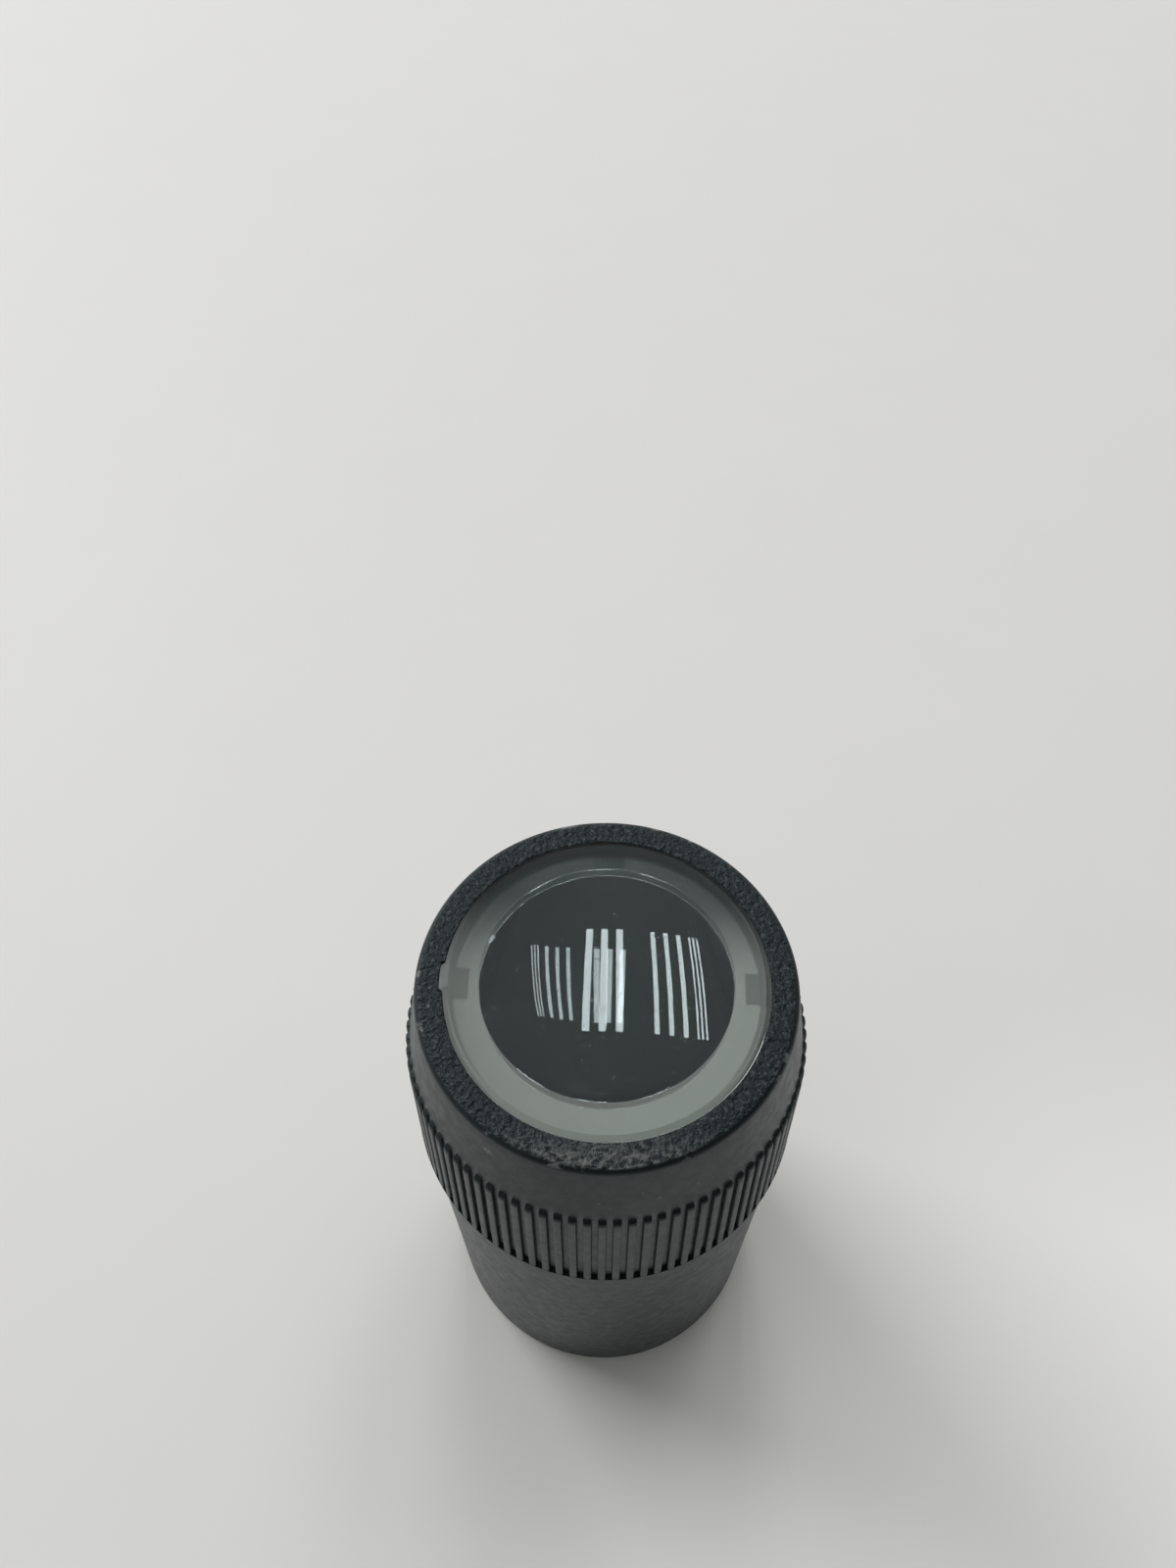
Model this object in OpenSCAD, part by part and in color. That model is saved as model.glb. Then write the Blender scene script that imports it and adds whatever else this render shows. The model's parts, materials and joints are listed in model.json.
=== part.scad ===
// Stand magnifier: a screw-focusing eyepiece head on a plain barrel that stands open over a page.
// Origin: centre of the foot of the barrel. +Z runs up through the eye lens. Millimetres.

/* [Whole magnifier] */
// Height of the eyepiece rim face above the table
rim_face_z = 60; // [58:0.5:64]
// Outer radius of the rim face
rim_r = 15; // [14.8:0.1:15.4]
// Radius of the barrel just below the head
barrel_r = 16.9; // [16.6:0.1:17.0]
// Radius of the barrel at its foot
foot_r = 16.7; // [16.4:0.1:16.9]
// Depth of the parting line between the head and the barrel
parting_gap = 0.2; // [0.1:0.05:0.4]

/* [Eyepiece head] */
// Height of the tapered flank, from its lower edge to the rim face
flank_h = 7.5; // [6.5:0.1:8.5]
// Radius of the flank's lower edge, where the grooves of the grip begin
flank_r = 16.45; // [16.3:0.05:16.6]
// Rounding of the rim's outer edge
rim_round = 0.7; // [0.3:0.1:1.0]
// Height of the ribbed grip
grip_h = 14.4; // [13:0.1:15]
// Number of ribs round the grip
rib_count = 90; // [60:2:100]
// Outer radius of the ribs at the bottom of the grip, which flares a little
grip_base_r = 17.4; // [17.2:0.05:17.6]
// Height of the ribs above the floor of their grooves
rib_depth = 0.38; // [0.3:0.02:0.5]
// Share of each pitch that the rib takes
rib_share = 0.54; // [0.4:0.02:0.6]
// Height over which the ribs' top ends round off into the flank
rib_top_h = 0.6; // [0.3:0.05:0.8]
// Height of the lip that closes the grooves at the bottom
lip_h = 0.3; // [0.2:0.1:0.8]

/* [Eye lens] */
// Radius of the lens flange
flange_r = 12.95; // [12.7:0.05:13.1]
// Thickness of the lens flange
flange_t = 2.2; // [1.8:0.1:2.6]
// Height of the flange's bevelled top above the rim face
lens_proud = 0.25; // [0.1:0.05:0.4]
// Radius of the curved, clear part of the lens
dome_r = 10.05; // [9.5:0.05:10.5]
// Radius of curvature of both lens faces
lens_curve_r = 60; // [45:1:80]

/* [Focusing screw] */
// Rise of the head in one full turn, which is its whole travel
lead = 4; // [3.6:0.1:4.2]
// Number of thread starts
starts = 4; // [3:1:4]
// Radius of the focus tube outside, under its thread
tube_r = 14; // [13.8:0.1:14.1]
// Radius of the focus tube's bore
bore_r = 12.6; // [12.4:0.1:12.8]
// Radial clearance between the tube and the moving parts that turn on it
running_gap = 0.04; // [0.02:0.01:0.08]

/* [Hidden] */
$fn = 120;
eps = 0.01;

// Heights that follow from the outside of the head
grip_top_z = rim_face_z - flank_h;
head_base_z = grip_top_z - grip_h;
barrel_top_z = head_base_z - parting_gap;

// The rim's rounding starts square to the flank
rim_round_x = rim_r - rim_round * 0.6;
rim_round_from = atan((flank_r - rim_round_x - rim_round) / (flank_h - rim_round));

// Barrel and foot
foot_round = 0.4;
base_ring_z = 0.8;
base_ring_h = 3;
base_ring_in_r = bore_r + 0.4;
tube_base_z = base_ring_z + base_ring_h;

// Screw: male ridges on the tube, and a short female ridge in the nut for each start
tube_top_z = rim_face_z - 5.6;
thread_base_z = tube_top_z - 8;
ridge_out_r = tube_r + 0.5;
nut_bore_r = tube_r + 0.75;
nut_ridge_in_r = tube_r + 0.25;
ridge_root_h = 0.46;
ridge_crest_h = 0.26;
ridge_sink = 0.3;
ridge_step_deg = 12;
ridge_base_z = thread_base_z + ridge_root_h / 2;
start_pitch = lead / starts;
nut_ridge_deg = 48;
nut_ridge_z = ridge_base_z + start_pitch / 2;
nut_ridge_top_z = nut_ridge_z + lead * nut_ridge_deg / 360 + ridge_root_h / 2;

// Stop ring in its groove near the top of the tube
stop_h = 0.7;
stop_z = nut_ridge_top_z + lead + 0.2;
stop_groove_r = 13.4;
stop_r = tube_r + 0.55;
stop_gap_deg = 24;
thread_top_z = stop_z - 0.2;
male_turn_deg = 360 * (thread_top_z - thread_base_z - ridge_root_h) / lead;

// Nut and the friction ring that it carries
nut_r = 15.6;
nut_base_z = head_base_z + 0.3;
nut_top_z = nut_ridge_top_z + 0.3;
friction_d = 1;
friction_mid_r = tube_r + running_gap + friction_d / 2;
friction_z = head_base_z + 2.2;
groove_r = friction_mid_r + friction_d / 2 + running_gap;
groove_h = friction_d + 2 * running_gap;

// Lens seat inside the head
lens_gap = 0.05;
flange_top_z = rim_face_z + lens_proud;
seat_z = flange_top_z - flange_t;
seat_t = 1;
ledge_r = 12.2;
lug_in_r = 10.9;
lug_w = 3;
lug_turns = [0, 90, 180];
key_w = 2.5;
key_r = flange_r + 0.3;
funnel_r = 13.3;
funnel_base_z = stop_z + stop_h + 0.3;
bevel_w = 0.43;
bevel_h = 0.27;
dome_sag = lens_curve_r - sqrt(lens_curve_r * lens_curve_r - dome_r * dome_r);

// Corner points of a quarter round: centre (x, y), radius r, from one angle to the other
function arc_points(x, y, r, from, to, count = 6) =
    [for (i = [0:count]) let (a = from + (to - from) * i / count) [x + r * cos(a), y + r * sin(a)]];

// One ring of a helical ridge: root_r inside the wall, crest_r at the crest, mid-height at z
function ridge_ring(a, z, root_r, crest_r) = [
    for (p = [[root_r, -ridge_root_h / 2], [crest_r, -ridge_crest_h / 2],
              [crest_r, ridge_crest_h / 2], [root_r, ridge_root_h / 2]])
        [p[0] * cos(a), p[0] * sin(a), z + p[1]]
];

// A right-handed helical ridge that starts at angle a0 and height z0 and climbs through turn_deg
module ridge(a0, z0, turn_deg, root_r, crest_r) {
    steps = ceil(turn_deg / ridge_step_deg);
    rings = [for (i = [0:steps]) let (t = turn_deg * i / steps)
        ridge_ring(a0 + t, z0 + lead * t / 360, root_r, crest_r)];
    outward = crest_r > root_r;
    sides = [for (i = [0:steps - 1], k = [0:3]) let (a = 4 * i + k, b = 4 * i + (k + 1) % 4)
        outward ? [a, b, b + 4, a + 4] : [a, a + 4, b + 4, b]];
    first = outward ? [3, 2, 1, 0] : [0, 1, 2, 3];
    last = [for (k = outward ? [0:3] : [3:-1:0]) 4 * steps + k];
    polyhedron(points = [for (ring = rings) each ring], faces = concat([first, last], sides),
        convexity = 8);
}

// Tube between two radii, from z0 to z1
module tube(out_r, in_r, z0, z1) {
    translate([0, 0, z0])
        difference() {
            cylinder(r = out_r, h = z1 - z0);
            translate([0, 0, -1])
                cylinder(r = in_r, h = z1 - z0 + 2);
        }
}

// Black moulded barrel, pressed over the focus tube
module barrel() {
    color("#26292a")
        rotate_extrude()
            polygon(concat(
                [[barrel_r, barrel_top_z], [tube_r, barrel_top_z], [tube_r, 0]],
                arc_points(foot_r - foot_round, foot_round, foot_round, -90, 0)
            ));
}

// Ring pressed into the foot, which keeps the focus tube in the barrel
module base_ring() {
    color("#1d1f20")
        tube(tube_r, base_ring_in_r, base_ring_z, tube_base_z);
}

// Black anodised tube with the four-start focusing thread round its top
module focus_tube() {
    color("#303333") {
        difference() {
            tube(tube_r, bore_r, tube_base_z, tube_top_z);
            tube(tube_r + 1, stop_groove_r, stop_z, stop_z + stop_h);
        }
        for (i = [0:starts - 1])
            ridge(360 * i / starts, ridge_base_z, male_turn_deg,
                tube_r - ridge_sink, ridge_out_r);
    }
}

// Split spring ring that stops the nut at the top of its travel
module stop_ring() {
    color("#9a9c9e")
        translate([0, 0, stop_z])
            rotate([0, 0, stop_gap_deg / 2])
                rotate_extrude(angle = 360 - stop_gap_deg)
                    translate([stop_groove_r, 0])
                        square([stop_r - stop_groove_r, stop_h]);
}

// Rubber O-ring that rides up and down in the nut and gives the screw its drag
module friction_ring() {
    color("#141414")
        translate([0, 0, friction_z])
            rotate_extrude()
                translate([friction_mid_r, 0])
                    circle(d = friction_d);
}

// Alloy nut, pressed into the head, with one short ridge for each start of the thread
module focus_nut() {
    color("#b8bcba") {
        difference() {
            tube(nut_r, nut_bore_r, nut_base_z, nut_top_z);
            tube(groove_r, nut_bore_r - 1, friction_z - groove_h / 2, friction_z + groove_h / 2);
        }
        for (i = [0:starts - 1])
            ridge(360 * i / starts, nut_ridge_z, nut_ridge_deg, nut_bore_r + ridge_sink,
                nut_ridge_in_r);
    }
}

// Outside of the head without its ribs: rim, flank, grip core and lip
module head_outline() {
    rotate_extrude()
        polygon(concat(
            [[0, head_base_z], [grip_base_r - rib_depth, head_base_z], [flank_r, grip_top_z]],
            arc_points(rim_round_x, rim_face_z - rim_round, rim_round, rim_round_from, 90),
            [[0, rim_face_z]]
        ));
}

// The ribs and the lip below them
module grip_ribs() {
    pitch = 360 / rib_count;
    half = pitch * rib_share / 2;
    root_r = flank_r - 0.4;
    outer_r = grip_base_r + 0.5;
    top_step = 0.04;
    intersection() {
        translate([0, 0, head_base_z])
            linear_extrude(grip_h)
                polygon([for (i = [0:rib_count - 1], p = [[root_r, -half], [outer_r, -half],
                                                         [outer_r, half], [root_r, half]])
                    let (a = i * pitch - 90 + p[1]) [p[0] * cos(a), p[0] * sin(a)]]);
        rotate_extrude()
            polygon(concat(
                [[flank_r - 1, head_base_z + eps], [grip_base_r, head_base_z + eps]],
                [for (a = [0:15:90])
                    [flank_r + top_step + (rib_depth - top_step) * cos(a),
                     grip_top_z - rib_top_h * (1 - sin(a))]],
                [[flank_r - 1, grip_top_z]]
            ));
    }
    rotate_extrude()
        polygon([[flank_r - 1, head_base_z], [grip_base_r - 0.1, head_base_z],
            [grip_base_r, head_base_z + 0.1], [grip_base_r, head_base_z + lip_h],
            [flank_r - 1, head_base_z + lip_h]]);
}

// Black moulded head: rim, tapered flank, ribbed grip and the seat for the lens
module eyepiece_head() {
    color("#2b2e2f")
        difference() {
            union() {
                head_outline();
                grip_ribs();
            }
            rotate_extrude()
                polygon([
                    [0, head_base_z - 1], [nut_r, head_base_z - 1], [nut_r, nut_top_z],
                    [nut_bore_r, nut_top_z], [nut_bore_r, funnel_base_z], [funnel_r, seat_z - seat_t],
                    [0, seat_z - seat_t]
                ]);
            difference() {
                translate([0, 0, seat_z - seat_t - 1])
                    cylinder(r = ledge_r, h = seat_t + 2);
                for (turn = lug_turns)
                    rotate([0, 0, turn])
                        translate([lug_in_r, -lug_w / 2, seat_z - seat_t - 2])
                            cube([ledge_r, lug_w, seat_t + 4]);
            }
            translate([0, 0, seat_z])
                cylinder(r = flange_r + lens_gap, h = flange_t + 1);
            translate([-key_r - lens_gap, -key_w / 2 - lens_gap, seat_z])
                cube([key_r, key_w + 2 * lens_gap, flange_t + 1]);
        }
}

// Clear biconvex lens with a flat flange, a bevelled edge and a key on its left
module eye_lens() {
    half_t = flange_t / 2;
    mid_z = flange_top_z - half_t;
    dome_from = asin(dome_r / lens_curve_r);
    centre_y = half_t + dome_sag - lens_curve_r;
    upper = [for (i = [0:12]) let (a = dome_from * (1 - i / 12))
        [lens_curve_r * sin(a), centre_y + lens_curve_r * cos(a)]];
    lower = [for (i = [12:-1:0]) [upper[i][0], -upper[i][1]]];
    color("#dfe8e4", 0.35)
        translate([0, 0, mid_z])
            union() {
                rotate_extrude()
                    polygon(concat(
                        [[flange_r, -half_t], [flange_r, half_t - bevel_h], [flange_r - bevel_w, half_t]],
                        upper, lower
                    ));
                translate([-key_r, -key_w / 2, -half_t])
                    cube([key_r - flange_r + 0.5, key_w, flange_t - bevel_h]);
            }
}

barrel();
base_ring();
focus_tube();
stop_ring();
friction_ring();
focus_nut();
eyepiece_head();
eye_lens();
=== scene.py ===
import json
import math

import bpy
from mathutils import Matrix, Vector


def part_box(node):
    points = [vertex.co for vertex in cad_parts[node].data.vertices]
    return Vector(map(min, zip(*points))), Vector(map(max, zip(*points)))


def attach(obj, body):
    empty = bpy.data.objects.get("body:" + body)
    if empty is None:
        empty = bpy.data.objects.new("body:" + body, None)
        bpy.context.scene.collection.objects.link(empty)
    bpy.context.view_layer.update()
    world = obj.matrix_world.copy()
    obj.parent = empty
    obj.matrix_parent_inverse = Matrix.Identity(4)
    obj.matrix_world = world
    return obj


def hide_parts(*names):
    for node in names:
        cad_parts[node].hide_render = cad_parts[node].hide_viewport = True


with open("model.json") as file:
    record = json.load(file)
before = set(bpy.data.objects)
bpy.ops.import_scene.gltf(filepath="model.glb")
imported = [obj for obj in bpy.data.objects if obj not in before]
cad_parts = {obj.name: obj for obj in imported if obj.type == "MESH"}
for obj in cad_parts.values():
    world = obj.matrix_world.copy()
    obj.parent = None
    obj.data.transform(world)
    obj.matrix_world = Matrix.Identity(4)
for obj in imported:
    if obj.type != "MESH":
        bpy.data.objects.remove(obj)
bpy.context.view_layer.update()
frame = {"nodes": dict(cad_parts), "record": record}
MM = 0.001

# Driving sizes in millimetres, as in the CAD model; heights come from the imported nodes.
HEAD_BASE, HEAD_TOP = (corner[2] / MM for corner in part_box("eyepiece_head"))
BARREL_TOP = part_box("barrel")[1][2] / MM
TUBE_BASE, TUBE_TOP = (corner[2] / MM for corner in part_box("focus_tube"))
NUT_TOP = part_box("focus_nut")[1][2] / MM
RIM_R = 15.0
RIM_ROUND = 0.7
FLANK_R = 16.45
FLANK_H = 7.5
GRIP_BASE_R = 17.4
RIB_DEPTH = 0.38
RIB_COUNT = 90
RIB_SHARE = 0.54
RIB_TOP_H = 0.6
LIP_H = 0.3
RIB_ROUND_SHARE = 0.14
RIM_RING_RADII = (14.2, 13.8, 13.45)
BARREL_R = 16.9
FOOT_R = 16.7
FOOT_ROUND = 0.4
TUBE_R = 14.0
BORE_R = 12.6
FLANGE_R = 12.95
FLANGE_T = 2.2
LENS_PROUD = 0.25
LENS_CURVE_R = 60.0
DOME_R = 10.05
BEVEL_W = 0.43
BEVEL_H = 0.27
SEAT_GAP = 0.05
SEAT_T = 1.0
LEDGE_R = 12.2
LUG_IN_R = 10.9
LUG_W = 3.0
KEY_W = 2.5
KEY_R = FLANGE_R + 0.3
NUT_BORE_R = 14.75
NUT_R = 15.6
FUNNEL_R = 13.3
FUNNEL_BASE = HEAD_TOP - 6.9
GRIP_TOP = HEAD_TOP - FLANK_H
LENS_TOP = HEAD_TOP + LENS_PROUD
SEAT_Z = LENS_TOP - FLANGE_T
ROUND_STEPS = 256

# Lamps, table and camera, in metres and degrees. Each row of tubes has its centre, pitch and width.
# The camera's height is above the rim.
TUBE_ROWS = {"middle": (-0.022, 0.112, 0.050), "right": (0.44, 0.10, 0.034), "far": (0.66, 0.032, 0.014)}
TUBE_BACK, TUBE_UP, TUBE_LENGTH = 0.98, 2.0, 0.93
TUBE_RADIANCE = 13.0
WINDOW_PLACE = Vector((-1.6, 1.2, 1.5))
WINDOW_SIZE = 1.3
WINDOW_RADIANCE = 6.0
POOL_LAMP_HEIGHT = 0.45
CAMERA_BACK, CAMERA_UP = 0.04206, 0.08436
CAMERA_YAW, CAMERA_PITCH, CAMERA_ROLL = -1.84, 54.06, -0.47
CAMERA_LENS = 27.045
TABLE_HALF = 3.0


# ---------------------------------------------------------------- mesh helpers

def arc(x, z, r, start, end, count):
    """Points of an arc in the (radius, height) plane, angles in degrees."""
    angles = [math.radians(start + (end - start) * i / count) for i in range(count + 1)]
    return [(x + r * math.cos(a), z + r * math.sin(a)) for a in angles]


def finish_mesh(name, verts, faces, sharp_deg):
    """Makes an object from millimetre vertices, smooth but for edges sharper than sharp_deg."""
    mesh = bpy.data.meshes.new(name)
    mesh.from_pydata([Vector(v) * MM for v in verts], [], faces)
    mesh.validate()
    mesh.shade_smooth()
    mesh.set_sharp_from_angle(angle=math.radians(sharp_deg))
    piece = bpy.data.objects.new(name, mesh)
    bpy.context.scene.collection.objects.link(piece)
    return piece


def lathe(name, profile, angles, radius_at=None, sharp_deg=32):
    """Turns a closed profile of (radius, height) points round Z. radius_at(i, angle, r, z) may reshape it."""
    columns = len(angles)
    rows = len(profile)
    verts = []
    for i, (r, z) in enumerate(profile):
        for angle in angles:
            reach = radius_at(i, angle, r, z) if radius_at else r
            verts.append((reach * math.cos(angle), reach * math.sin(angle), z))
    faces = []
    for i in range(rows):
        below = i * columns
        above = ((i + 1) % rows) * columns
        for j in range(columns):
            k = (j + 1) % columns
            faces.append((below + j, below + k, above + k, above + j))
    return finish_mesh(name, verts, faces, sharp_deg)


def full_turn(count):
    return [2 * math.pi * i / count for i in range(count)]


# ---------------------------------------------------------------- node material helpers

class Nodes:
    """A material and short calls for adding and wiring its nodes."""

    def __init__(self, name):
        self.material = bpy.data.materials.new(name)
        self.material.use_nodes = True
        self.tree = self.material.node_tree
        self.shader = self.tree.nodes["Principled BSDF"]
        self.output = self.tree.nodes["Material Output"]
        self.place = self.tree.nodes.new("ShaderNodeTexCoord").outputs["Object"]

    def link(self, source, target):
        self.tree.links.new(source, target)

    def put(self, socket, value):
        if isinstance(value, bpy.types.NodeSocket):
            self.link(value, socket)
        else:
            socket.default_value = value

    def node(self, kind, **inputs):
        made = self.tree.nodes.new(kind)
        for name, value in inputs.items():
            self.put(made.inputs[name.replace("_", " ")], value)
        return made

    def noise(self, scale, detail=3.0, roughness=0.55, vector=None):
        made = self.node("ShaderNodeTexNoise", Vector=vector or self.place, Scale=scale, Detail=detail,
                         Roughness=roughness)
        return made.outputs["Fac"]

    def math(self, operation, a, b=0.0):
        made = self.tree.nodes.new("ShaderNodeMath")
        made.operation = operation
        self.put(made.inputs[0], a)
        self.put(made.inputs[1], b)
        return made.outputs[0]

    def ramp(self, value, low, high, to_low=0.0, to_high=1.0):
        made = self.tree.nodes.new("ShaderNodeMapRange")
        made.interpolation_type = "SMOOTHSTEP"
        made.inputs["From Min"].default_value = low
        made.inputs["From Max"].default_value = high
        self.put(made.inputs["To Min"], to_low)
        self.put(made.inputs["To Max"], to_high)
        self.put(made.inputs["Value"], value)
        return made.outputs[0]

    def mix(self, fac, a, b):
        made = self.tree.nodes.new("ShaderNodeMix")
        made.data_type = "RGBA"
        self.put(made.inputs[0], fac)
        self.put(made.inputs[6], a)
        self.put(made.inputs[7], b)
        return made.outputs[2]

    def blend(self, fac, first, second):
        """Mixes two shaders: all first where fac is 0, all second where it is 1."""
        made = self.tree.nodes.new("ShaderNodeMixShader")
        for socket, value in zip(made.inputs, (fac, first, second)):
            self.link(value, socket)
        return made.outputs[0]

    def stretched(self, scale):
        """Object coordinates scaled by a different amount along each axis."""
        return self.node("ShaderNodeMapping", Vector=self.place, Scale=scale).outputs[0]

    def xyz(self):
        return self.node("ShaderNodeSeparateXYZ", Vector=self.place).outputs

    def reach(self):
        """Distance from the axis."""
        x, y, _ = self.xyz()
        return self.math("SQRT", self.math("ADD", self.math("MULTIPLY", x, x), self.math("MULTIPLY", y, y)))

    def near(self, place, radius, core):
        """1 within the core round a place, falling to 0 at the radius, all in millimetres."""
        away = self.tree.nodes.new("ShaderNodeVectorMath")
        away.operation = "DISTANCE"
        self.put(away.inputs[0], self.place)
        away.inputs[1].default_value = [v * MM for v in place]
        return self.ramp(away.outputs["Value"], radius * MM, core * MM)

    def bump(self, height, distance, strength=1.0, normal=None):
        made = self.node("ShaderNodeBump", Height=height, Distance=distance, Strength=strength)
        if normal is not None:
            self.link(normal, made.inputs["Normal"])
        return made.outputs[0]


# Place on the head in millimetres, and radius, of each scuff
WEAR_MARKS = (
    ((-8.6, -13.0, 57.6), 1.0),
    ((-13.9, -2.6, 60.0), 0.5),
    ((4.2, -15.4, 55.2), 0.5),
    ((12.0, -9.6, 57.0), 0.7),
)


def black_moulding(name, grip=False):
    """Satin black plastic with dust and rub marks; the grip moulding has a spark-textured rim face with
    painted glints.
    """
    n = Nodes(name)
    cloud = n.noise(120.0, 4.0, 0.6)
    speck = n.ramp(n.noise(2200.0, 2.0, 0.6), 0.70, 0.76)
    rub = n.ramp(n.noise(700.0, 5.0, 0.75), 0.60, 0.78)
    colour = n.mix(cloud, (0.0085, 0.0120, 0.0130, 1), (0.0105, 0.0145, 0.0155, 1))
    colour = n.mix(n.math("MULTIPLY", rub, 0.12), colour, (0.050, 0.056, 0.056, 1))
    colour = n.mix(n.math("MULTIPLY", speck, 0.40), colour, (0.15, 0.16, 0.16, 1))
    height = n.bump(n.noise(5200.0, 3.0, 0.6), 0.00003, 0.25)
    rough = n.ramp(n.noise(900.0, 4.0, 0.65), 0.3, 0.7, 0.34, 0.44)
    if grip:
        _, y, z = n.xyz()
        on_face = n.ramp(z, (HEAD_TOP - 0.14) * MM, (HEAD_TOP - 0.03) * MM)
        grain = n.noise(1900.0, 3.0, 0.6)
        height = n.bump(grain, 0.00045, on_face, height)
        # Painted glints: lighter specks in the rim face's colour stand in for sparkle highlights on its
        # texture.
        painted_glint = n.math("MULTIPLY", n.ramp(n.noise(2500.0, 2.0, 0.5), 0.54, 0.68), on_face)
        colour = n.mix(n.math("MULTIPLY", painted_glint, 0.26), colour, (0.16, 0.175, 0.17, 1))
        # The rim face turns lighter grey towards the front, on the high points of its grain.
        front = n.ramp(y, -11.5 * MM, -14.6 * MM)
        front_lightened = n.math("MULTIPLY", n.math("MULTIPLY", front, on_face), n.ramp(grain, 0.40, 0.62))
        colour = n.mix(n.math("MULTIPLY", front_lightened, 0.75), colour, (0.150, 0.152, 0.142, 1))
        reach = n.reach()
        outer_edge = n.math("MULTIPLY", n.ramp(reach, (RIM_R - 0.30) * MM, (RIM_R - 0.10) * MM),
                            n.ramp(z, (HEAD_TOP - 0.50) * MM, (HEAD_TOP - 0.25) * MM))
        rubbed = n.math("MULTIPLY", outer_edge, n.ramp(n.noise(420.0, 3.0, 0.6), 0.58, 0.66))
        colour = n.mix(n.math("MULTIPLY", rubbed, 0.8), colour, (0.17, 0.18, 0.175, 1))
        chalk = n.noise(2400.0, 4.0, 0.7)
        for place, radius in WEAR_MARKS:
            inside = n.near(place, radius, radius * 0.2)
            worn = n.ramp(n.math("MULTIPLY", inside, chalk), 0.36, 0.56)
            colour = n.mix(n.math("MULTIPLY", worn, 0.6), colour, (0.20, 0.21, 0.205, 1))
    n.put(n.shader.inputs["Base Color"], colour)
    n.put(n.shader.inputs["Roughness"], rough)
    n.shader.inputs["Specular IOR Level"].default_value = 0.31
    n.shader.inputs["Specular Tint"].default_value = (0.76, 0.94, 1.0, 1)
    n.link(height, n.shader.inputs["Normal"])
    return n.material


def black_anodised(name):
    """Satin black anodised bore with fine lengthways lines; it shines at glancing angles."""
    n = Nodes(name)
    lines = n.noise(1.0, 4.0, 0.6, n.stretched((1500.0, 1500.0, 60.0)))
    n.put(n.shader.inputs["Base Color"], n.mix(lines, (0.009, 0.012, 0.011, 1), (0.014, 0.018, 0.017, 1)))
    n.put(n.shader.inputs["Roughness"], n.ramp(lines, 0.3, 0.7, 0.10, 0.15))
    n.shader.inputs["IOR"].default_value = 1.5
    n.link(n.bump(lines, 0.00001, 0.3), n.shader.inputs["Normal"])
    return n.material


def bright_alloy(name):
    """Satin turned alloy."""
    n = Nodes(name)
    rings = n.noise(1.0, 4.0, 0.6, n.stretched((200.0, 200.0, 6000.0)))
    n.put(n.shader.inputs["Base Color"], n.mix(rings, (0.60, 0.64, 0.62, 1), (0.78, 0.81, 0.79, 1)))
    n.shader.inputs["Metallic"].default_value = 1.0
    n.put(n.shader.inputs["Roughness"], n.ramp(rings, 0.3, 0.7, 0.22, 0.32))
    n.link(n.bump(rings, 0.00002, 0.3), n.shader.inputs["Normal"])
    return n.material


def clear_acrylic(name):
    """Clear acrylic with a frosted flange, faint scratches, smears and dust, and a painted light layer on the
    flange that grows towards the front.

    Shadow rays pass straight through it, which keeps the bore free of noise.
    """
    n = Nodes(name)
    reach = n.reach()
    edge = n.ramp(reach, (FLANGE_R - 0.06) * MM, (FLANGE_R - 0.02) * MM)
    flange = n.ramp(reach, (DOME_R + 0.02) * MM, (DOME_R + 0.12) * MM)
    scratch = n.ramp(n.noise(1.0, 2.0, 0.5, n.stretched((700.0, 4200.0, 700.0))), 0.70, 0.74)
    smear = n.ramp(n.noise(260.0, 5.0, 0.7), 0.52, 0.75)
    mote = n.ramp(n.noise(2600.0, 2.0, 0.5), 0.70, 0.75)
    n.shader.inputs["Base Color"].default_value = (0.93, 0.975, 0.955, 1)
    n.shader.inputs["Transmission Weight"].default_value = 1.0
    n.shader.inputs["IOR"].default_value = 1.49
    n.shader.inputs["Specular Tint"].default_value = (0.85, 0.98, 1.0, 1)
    frost = n.math("ADD", n.math("MULTIPLY", edge, 0.25), n.math("MULTIPLY", flange, 0.30))
    n.put(n.shader.inputs["Roughness"], frost)
    n.link(n.bump(scratch, 0.000004, 0.3), n.shader.inputs["Normal"])
    # A whitish diffuse layer: dust on smears and motes, and painted light on the flange.
    dust = n.node("ShaderNodeBsdfDiffuse", Color=(0.62, 0.66, 0.62, 1))
    dust_and_painted_light = n.math("ADD", n.math("MULTIPLY", smear, 0.012), n.math("MULTIPLY", mote, 0.12))
    # Painted light: the flange's whitish layer grows towards the front, standing in for light seen through
    # the flange.
    painted_flange_light = n.ramp(n.xyz()[1], 8.0 * MM, -1.0 * MM, 0.012, 0.20)
    dust_and_painted_light = n.math("ADD", dust_and_painted_light, n.math("MULTIPLY", flange, painted_flange_light))
    soft = n.node("ShaderNodeBsdfRefraction", Color=(0.93, 0.975, 0.955, 1), Roughness=0.30, IOR=1.49)
    body = n.blend(n.math("MULTIPLY", flange, 0.75), n.shader.outputs[0], soft.outputs[0])
    dust_and_light_blend = n.blend(dust_and_painted_light, body, dust.outputs[0])
    is_shadow = n.tree.nodes.new("ShaderNodeLightPath").outputs["Is Shadow Ray"]
    clear = n.node("ShaderNodeBsdfTransparent", Color=(0.86, 0.91, 0.89, 1))
    mixed = n.blend(is_shadow, dust_and_light_blend, clear.outputs[0])
    n.link(mixed, n.output.inputs["Surface"])
    return n.material


def plain_rubber(name):
    n = Nodes(name)
    colour = n.mix(n.noise(900.0), (0.008, 0.008, 0.008, 1), (0.02, 0.02, 0.02, 1))
    n.put(n.shader.inputs["Base Color"], colour)
    n.shader.inputs["Roughness"].default_value = 0.7
    return n.material


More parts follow.
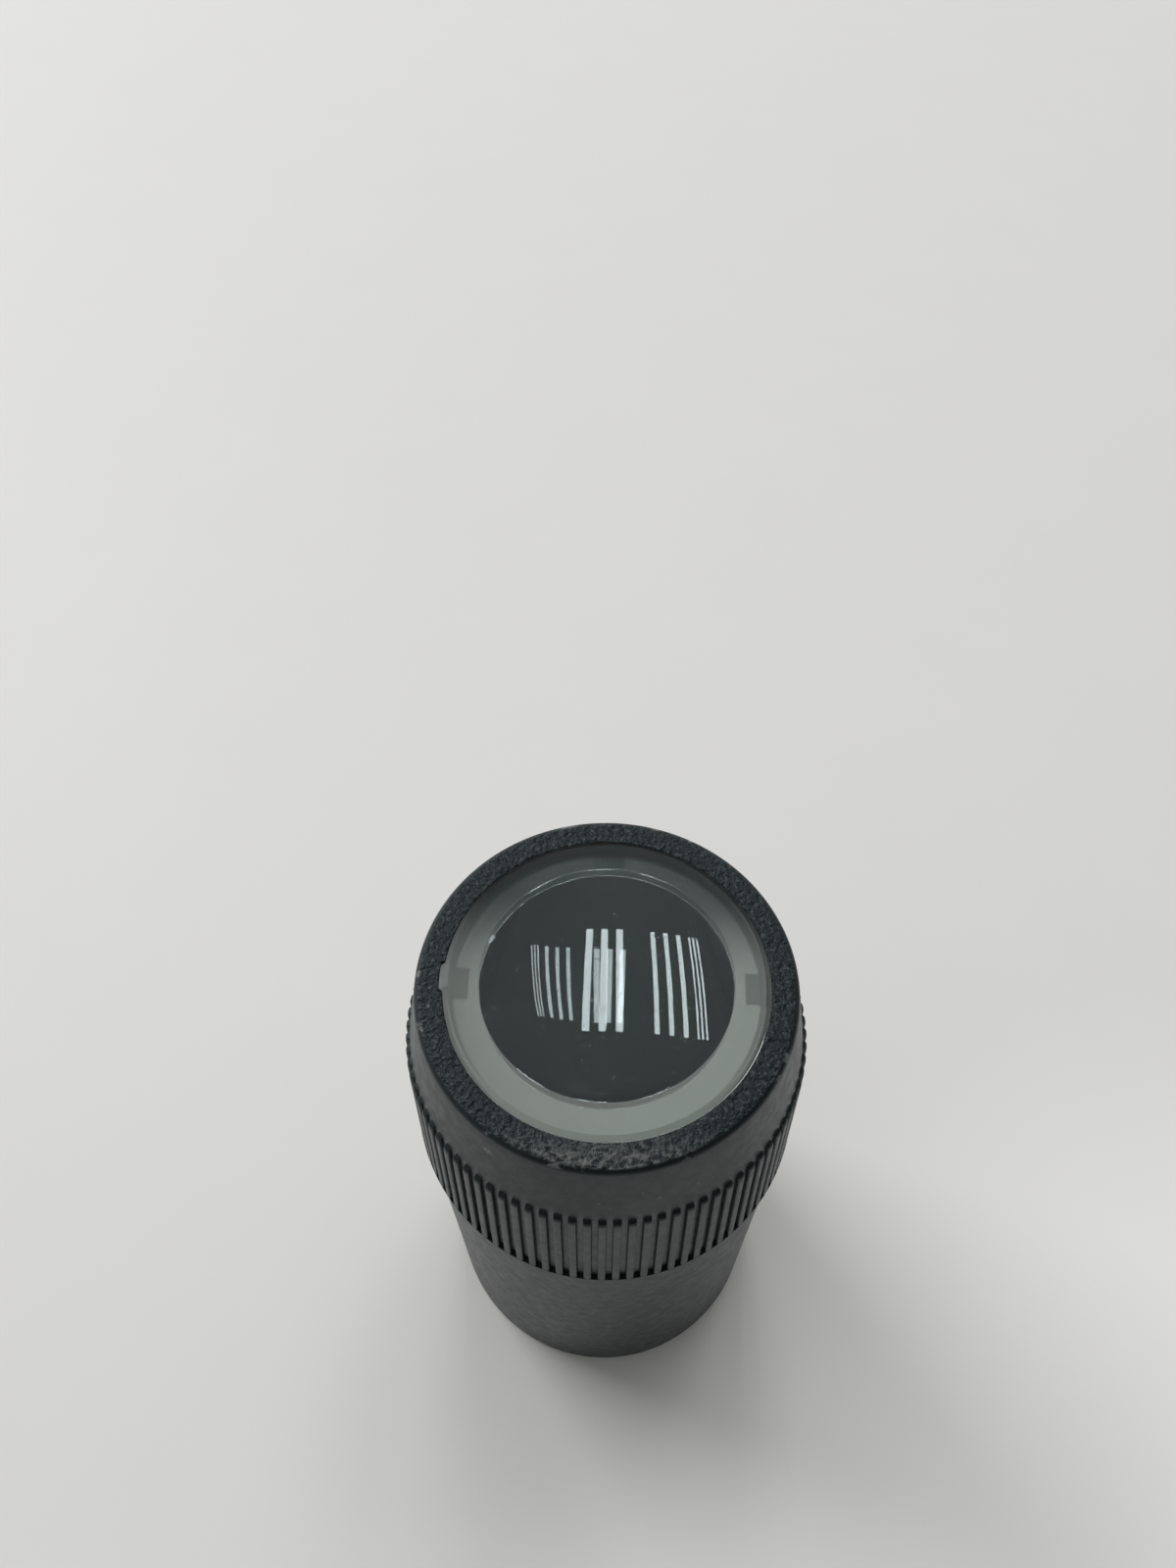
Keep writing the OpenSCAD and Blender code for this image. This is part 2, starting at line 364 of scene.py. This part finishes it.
def spring_steel(name):
    n = Nodes(name)
    colour = n.mix(n.noise(2000.0), (0.35, 0.36, 0.37, 1), (0.5, 0.51, 0.52, 1))
    n.put(n.shader.inputs["Base Color"], colour)
    n.shader.inputs["Metallic"].default_value = 1.0
    n.shader.inputs["Roughness"].default_value = 0.3
    return n.material


def table_top(name):
    """Plain pale sheet that the magnifier stands on."""
    n = Nodes(name)
    colour = n.mix(n.noise(60.0), (0.785, 0.778, 0.76, 1), (0.805, 0.798, 0.78, 1))
    n.put(n.shader.inputs["Base Color"], colour)
    n.shader.inputs["Roughness"].default_value = 0.6
    return n.material


# ---------------------------------------------------------------- pieces

def rib_angles():
    """Angles round the head, denser at each rib's two edges."""
    pitch = 2 * math.pi / RIB_COUNT
    half = RIB_SHARE / 2
    rising = [-half + step for step in (-0.02, 0.0, 0.02, RIB_ROUND_SHARE / 2, RIB_ROUND_SHARE)]
    steps = rising + [0.0] + [-step for step in reversed(rising)] + [0.5]
    start = -math.pi / 2
    return [start + pitch * (i + s) for i in range(RIB_COUNT) for s in steps]


def rib_height(angle):
    """How much of its full height a rib has at an angle: 0 in a groove, 1 on its flat, rounded between."""
    pitch = 2 * math.pi / RIB_COUNT
    offset = abs(((angle + math.pi / 2) / pitch + 0.5) % 1.0 - 0.5)
    edge = RIB_SHARE / 2
    if offset > edge + 0.01:
        return 0.0
    inward = max(0.0, edge - offset) / RIB_ROUND_SHARE
    if inward >= 1.0:
        return 1.0
    return 0.78 + 0.22 * math.sqrt(1 - (1 - inward) ** 2)


def make_head():
    """Rim, flank, ribs, lip, and the inside down to the nut."""
    round_x = RIM_R - RIM_ROUND * 0.6
    slope = math.degrees(math.atan((FLANK_R - round_x - RIM_ROUND) / (FLANK_H - RIM_ROUND)))
    rows = [(GRIP_BASE_R - 0.1, HEAD_BASE), (GRIP_BASE_R, HEAD_BASE + 0.1),
            (GRIP_BASE_R, HEAD_BASE + LIP_H)]
    first_rib_row = len(rows)
    rib_from, rib_to = HEAD_BASE + LIP_H + 0.01, GRIP_TOP - RIB_TOP_H
    heights = [rib_from + (rib_to - rib_from) * i / 8 for i in range(9)]
    heights += [rib_to + RIB_TOP_H * math.sin(math.radians(15 * i)) for i in range(1, 7)]
    for z in heights:
        down = (GRIP_TOP - z) / (GRIP_TOP - HEAD_BASE)
        rows.append((FLANK_R + (GRIP_BASE_R - RIB_DEPTH - FLANK_R) * down, z))
    last_rib_row = len(rows)
    rows += [(FLANK_R, GRIP_TOP + 0.015)]
    rim_arc = arc(round_x, HEAD_TOP - RIM_ROUND, RIM_ROUND, slope, 90, 10)
    foot = rows[-1]
    for i in range(1, 8):
        t = i / 8
        rows.append((foot[0] + (rim_arc[0][0] - foot[0]) * t, foot[1] + (rim_arc[0][1] - foot[1]) * t))
    rows += rim_arc
    inner_r = FLANGE_R + SEAT_GAP
    rows += [(r, HEAD_TOP) for r in (*RIM_RING_RADII, inner_r + 0.1)]
    recess_row = len(rows)
    rows += [(inner_r + 0.03, HEAD_TOP - 0.02), (inner_r, HEAD_TOP - 0.08), (inner_r, HEAD_TOP - 0.8),
             (inner_r, SEAT_Z)]
    seat_row = len(rows)
    rows += [(LEDGE_R, SEAT_Z), (LEDGE_R, SEAT_Z - SEAT_T), (FUNNEL_R, SEAT_Z - SEAT_T),
             (NUT_BORE_R, FUNNEL_BASE), (NUT_BORE_R, NUT_TOP), (NUT_R, NUT_TOP), (NUT_R, HEAD_BASE)]
    key_half = math.asin((KEY_W / 2 + SEAT_GAP) / KEY_R)

    def radius_at(i, angle, r, z):
        if first_rib_row <= i < last_rib_row:
            above = min(1.0, max(0.0, z - rib_to) / RIB_TOP_H)
            return r + RIB_DEPTH * math.sqrt(1 - above ** 2) * rib_height(angle)
        if recess_row - 1 <= i < seat_row:
            off_key = abs(angle % (2 * math.pi) - math.pi)
            if off_key < key_half:
                return KEY_R + SEAT_GAP + (r - inner_r)
        return r

    return lathe("head_moulding", rows, rib_angles(), radius_at)


def make_lens_lugs():
    """Blocks that widen the seat under the flange at the sides and the back, part of the head moulding."""
    verts, faces = [], []
    inner, outer = LUG_IN_R, LEDGE_R + 0.2
    low, high = SEAT_Z - SEAT_T, SEAT_Z
    soft = 0.12
    for turn in range(3):
        rotation = Matrix.Rotation(math.pi / 2 * turn, 3, "Z")
        base = len(verts)
        for z, inset in ((low, soft), (low + soft, 0.0), (high - soft, 0.0), (high, soft)):
            half = LUG_W / 2 - inset
            for x, y in ((inner + inset, -half), (outer, -half), (outer, half), (inner + inset, half)):
                verts.append(tuple(rotation @ Vector((x, y, z))))
        for level in range(3):
            for k in range(4):
                a = base + 4 * level + k
                b = base + 4 * level + (k + 1) % 4
                faces.append((a, b, b + 4, a + 4))
        faces.append((base + 3, base + 2, base + 1, base))
        faces.append((base + 12, base + 13, base + 14, base + 15))
    return finish_mesh("lens_lugs", verts, faces, 30)


def make_barrel():
    rows = [(r, BARREL_TOP) for r in (BARREL_R - 0.1, TUBE_R + 0.6, TUBE_R)]
    rows += [(TUBE_R, 0.0)]
    rows += arc(FOOT_R - FOOT_ROUND, FOOT_ROUND, FOOT_ROUND, -90, 0, 6)
    rows += [(FOOT_R + (BARREL_R - FOOT_R) * i / 12, BARREL_TOP * i / 12) for i in range(1, 12)]
    rows += [(BARREL_R, BARREL_TOP - 0.1)]
    return lathe("barrel_moulding", rows, full_turn(ROUND_STEPS))


def make_bore():
    """Bore and outside of the focus tube, without its thread, which stays out of sight in the head."""
    rows = [(TUBE_R, TUBE_BASE), (TUBE_R, TUBE_TOP - 0.2), (TUBE_R - 0.2, TUBE_TOP), (BORE_R + 0.1, TUBE_TOP),
            (BORE_R, TUBE_TOP - 0.1)]
    rows += [(BORE_R, TUBE_TOP - 0.1 - (TUBE_TOP - 0.2 - TUBE_BASE) * i / 12) for i in range(1, 13)]
    return lathe("focus_tube_bore", rows, full_turn(ROUND_STEPS))


def lens_half(sign):
    """Radius and height of one dome, from its edge to the middle, above (1) or below (-1) mid-height."""
    sag = LENS_CURVE_R - math.sqrt(LENS_CURVE_R ** 2 - DOME_R ** 2)
    centre = FLANGE_T / 2 + sag - LENS_CURVE_R
    rings = 40
    points = []
    for i in range(rings):
        r = DOME_R * (1 - i / rings)
        points.append((r, sign * (centre + math.sqrt(LENS_CURVE_R ** 2 - r * r))))
    return points, sign * (centre + LENS_CURVE_R)


def make_lens():
    angles = full_turn(ROUND_STEPS)
    middle = LENS_TOP - FLANGE_T / 2
    upper, crown = lens_half(1)
    lower, bottom = lens_half(-1)
    rows = upper[::-1]
    rows += [(DOME_R + (FLANGE_R - BEVEL_W - DOME_R) * i / 4, FLANGE_T / 2) for i in range(1, 5)]
    rows += [(FLANGE_R, FLANGE_T / 2 - BEVEL_H), (FLANGE_R, -FLANGE_T / 2 + 0.08),
             (FLANGE_R - 0.08, -FLANGE_T / 2)]
    rows += [(DOME_R + (FLANGE_R - 0.08 - DOME_R) * (1 - i / 4), -FLANGE_T / 2) for i in range(1, 4)]
    rows += lower
    key_half = math.asin(KEY_W / 2 / KEY_R)
    columns = len(angles)
    verts = []
    for r, z in rows:
        for angle in angles:
            reach = r
            if r >= FLANGE_R - 0.001 and abs(angle - math.pi) < key_half:
                reach = KEY_R
            verts.append((reach * math.cos(angle), reach * math.sin(angle), middle + z))
    verts.append((0, 0, middle + crown))
    verts.append((0, 0, middle + bottom))
    top, under = len(verts) - 2, len(verts) - 1
    faces = []
    last = (len(rows) - 1) * columns
    for j in range(columns):
        k = (j + 1) % columns
        faces.append((top, j, k))
        faces.append((under, last + k, last + j))
        for i in range(len(rows) - 1):
            a, b = i * columns, (i + 1) * columns
            faces.append((a + j, b + j, b + k, a + k))
    return finish_mesh("lens_clear", verts, faces, 6)


MATERIALS = {
    "black_moulding": black_moulding("black_moulding"),
    "black_grip_moulding": black_moulding("black_grip_moulding", grip=True),
    "black_anodised": black_anodised("black_anodised"),
    "bright_alloy": bright_alloy("bright_alloy"),
    "clear_acrylic": clear_acrylic("clear_acrylic"),
    "black_rubber": plain_rubber("black_rubber"),
    "spring_steel": spring_steel("spring_steel"),
}


def add(piece, body, slot, *nodes):
    """Puts a piece on its body, in its slot's material, in place of CAD nodes."""
    piece.data.materials.clear()
    piece.data.materials.append(MATERIALS[slot])
    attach(piece, body)
    if nodes:
        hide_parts(*nodes)


add(make_head(), "head", "black_grip_moulding", "eyepiece_head")
add(make_lens_lugs(), "head", "black_grip_moulding")
add(make_lens(), "head", "clear_acrylic", "eye_lens")
add(make_barrel(), "stand", "black_moulding", "barrel")
add(make_bore(), "stand", "black_anodised", "focus_tube")
for row in frame["record"]["subparts"]:
    for material_slot in frame["nodes"][row["node"]].material_slots:
        material_slot.material = MATERIALS[row["material_slot"]]


# ---------------------------------------------------------------- table, lights and camera

def add_table():
    mesh = bpy.data.meshes.new("table")
    corners = [(x * TABLE_HALF, y * TABLE_HALF, 0) for x, y in ((-1, -1), (1, -1), (1, 1), (-1, 1))]
    mesh.from_pydata(corners, [], [(0, 1, 2, 3)])
    table = bpy.data.objects.new("table", mesh)
    bpy.context.scene.collection.objects.link(table)
    mesh.materials.append(table_top("table_top"))


def area_light(name, place, width, length, radiance, aim=(0.0, 0.0, -1.0)):
    """A flat lamp, facing down if aim doesn't say otherwise, as bright as radiance says at any size."""
    lamp = bpy.data.lights.new(name, "AREA")
    lamp.shape = "RECTANGLE"
    lamp.size = width
    lamp.size_y = length
    lamp.energy = radiance * math.pi * width * length
    holder = bpy.data.objects.new(name, lamp)
    holder.location = place
    holder.rotation_euler = Vector(aim).to_track_quat("-Z", "Y").to_euler()
    bpy.context.scene.collection.objects.link(holder)
    return holder


def pool_light(name, x, y, radius, brightness):
    """A soft round pool of light on the table, in millimetres, from straight above."""
    lamp = bpy.data.lights.new(name, "SPOT")
    lamp.spot_size = 2 * math.atan(radius * MM / POOL_LAMP_HEIGHT)
    lamp.spot_blend = 1.0
    lamp.energy = brightness * 4 * math.pi ** 2 * POOL_LAMP_HEIGHT ** 2
    holder = bpy.data.objects.new(name, lamp)
    holder.location = (x * MM, y * MM, POOL_LAMP_HEIGHT)
    bpy.context.scene.collection.objects.link(holder)


def add_lights():
    """Rows of ceiling tubes, a window, a fill at the front right, and a room darker at the front."""
    for name, (centre, pitch, width) in TUBE_ROWS.items():
        for k in (-1, 0, 1):
            place = (centre + k * pitch, TUBE_BACK, TUBE_UP)
            area_light(f"tube_{name}_{k + 1}", place, width, TUBE_LENGTH, TUBE_RADIANCE)
    window = area_light("window", WINDOW_PLACE, WINDOW_SIZE, WINDOW_SIZE, WINDOW_RADIANCE,
                        aim=-WINDOW_PLACE)
    window.visible_transmission = False
    pool_light("front_right_pool", 78, -58, 92, 0.17)
    world = bpy.data.worlds.new("room")
    world.use_nodes = True
    nodes = world.node_tree.nodes
    toward = nodes.new("ShaderNodeVectorMath")
    toward.operation = "DOT_PRODUCT"
    toward.inputs[1].default_value = Vector((-0.45, 0.75, 0.55)).normalized()
    fade = nodes.new("ShaderNodeMapRange")
    for name, value in (("From Min", -0.35), ("From Max", 0.9), ("To Min", 0.04), ("To Max", 0.62)):
        fade.inputs[name].default_value = value
    background = nodes["Background"]
    background.inputs["Color"].default_value = (0.95, 0.96, 0.96, 1)
    links = world.node_tree.links
    links.new(nodes.new("ShaderNodeTexCoord").outputs["Generated"], toward.inputs[0])
    links.new(toward.outputs["Value"], fade.inputs["Value"])
    links.new(fade.outputs[0], background.inputs["Strength"])
    bpy.context.scene.world = world


def add_camera():
    """Phone camera close above the front of the magnifier, looking steeply down at the lens."""
    data = bpy.data.cameras.new("camera")
    data.sensor_fit = "AUTO"
    data.sensor_width = 36.0
    data.lens = CAMERA_LENS
    data.clip_start = 0.005
    camera = bpy.data.objects.new("camera", data)
    bpy.context.scene.collection.objects.link(camera)
    yaw, pitch, roll = (math.radians(angle) for angle in (CAMERA_YAW, CAMERA_PITCH, CAMERA_ROLL))
    forward = Vector((math.sin(yaw) * math.cos(pitch), math.cos(yaw) * math.cos(pitch), -math.sin(pitch)))
    side = Vector((math.cos(yaw), -math.sin(yaw), 0.0))
    above = side.cross(forward)
    right = side * math.cos(roll) + above * math.sin(roll)
    up = above * math.cos(roll) - side * math.sin(roll)
    turn = Matrix((right, up, -forward)).transposed().to_4x4()
    camera.matrix_world = Matrix.Translation((0.0, -CAMERA_BACK, HEAD_TOP * MM + CAMERA_UP)) @ turn
    bpy.context.scene.camera = camera


add_table()
add_lights()
add_camera()
bpy.context.scene.view_settings.view_transform = "Standard"
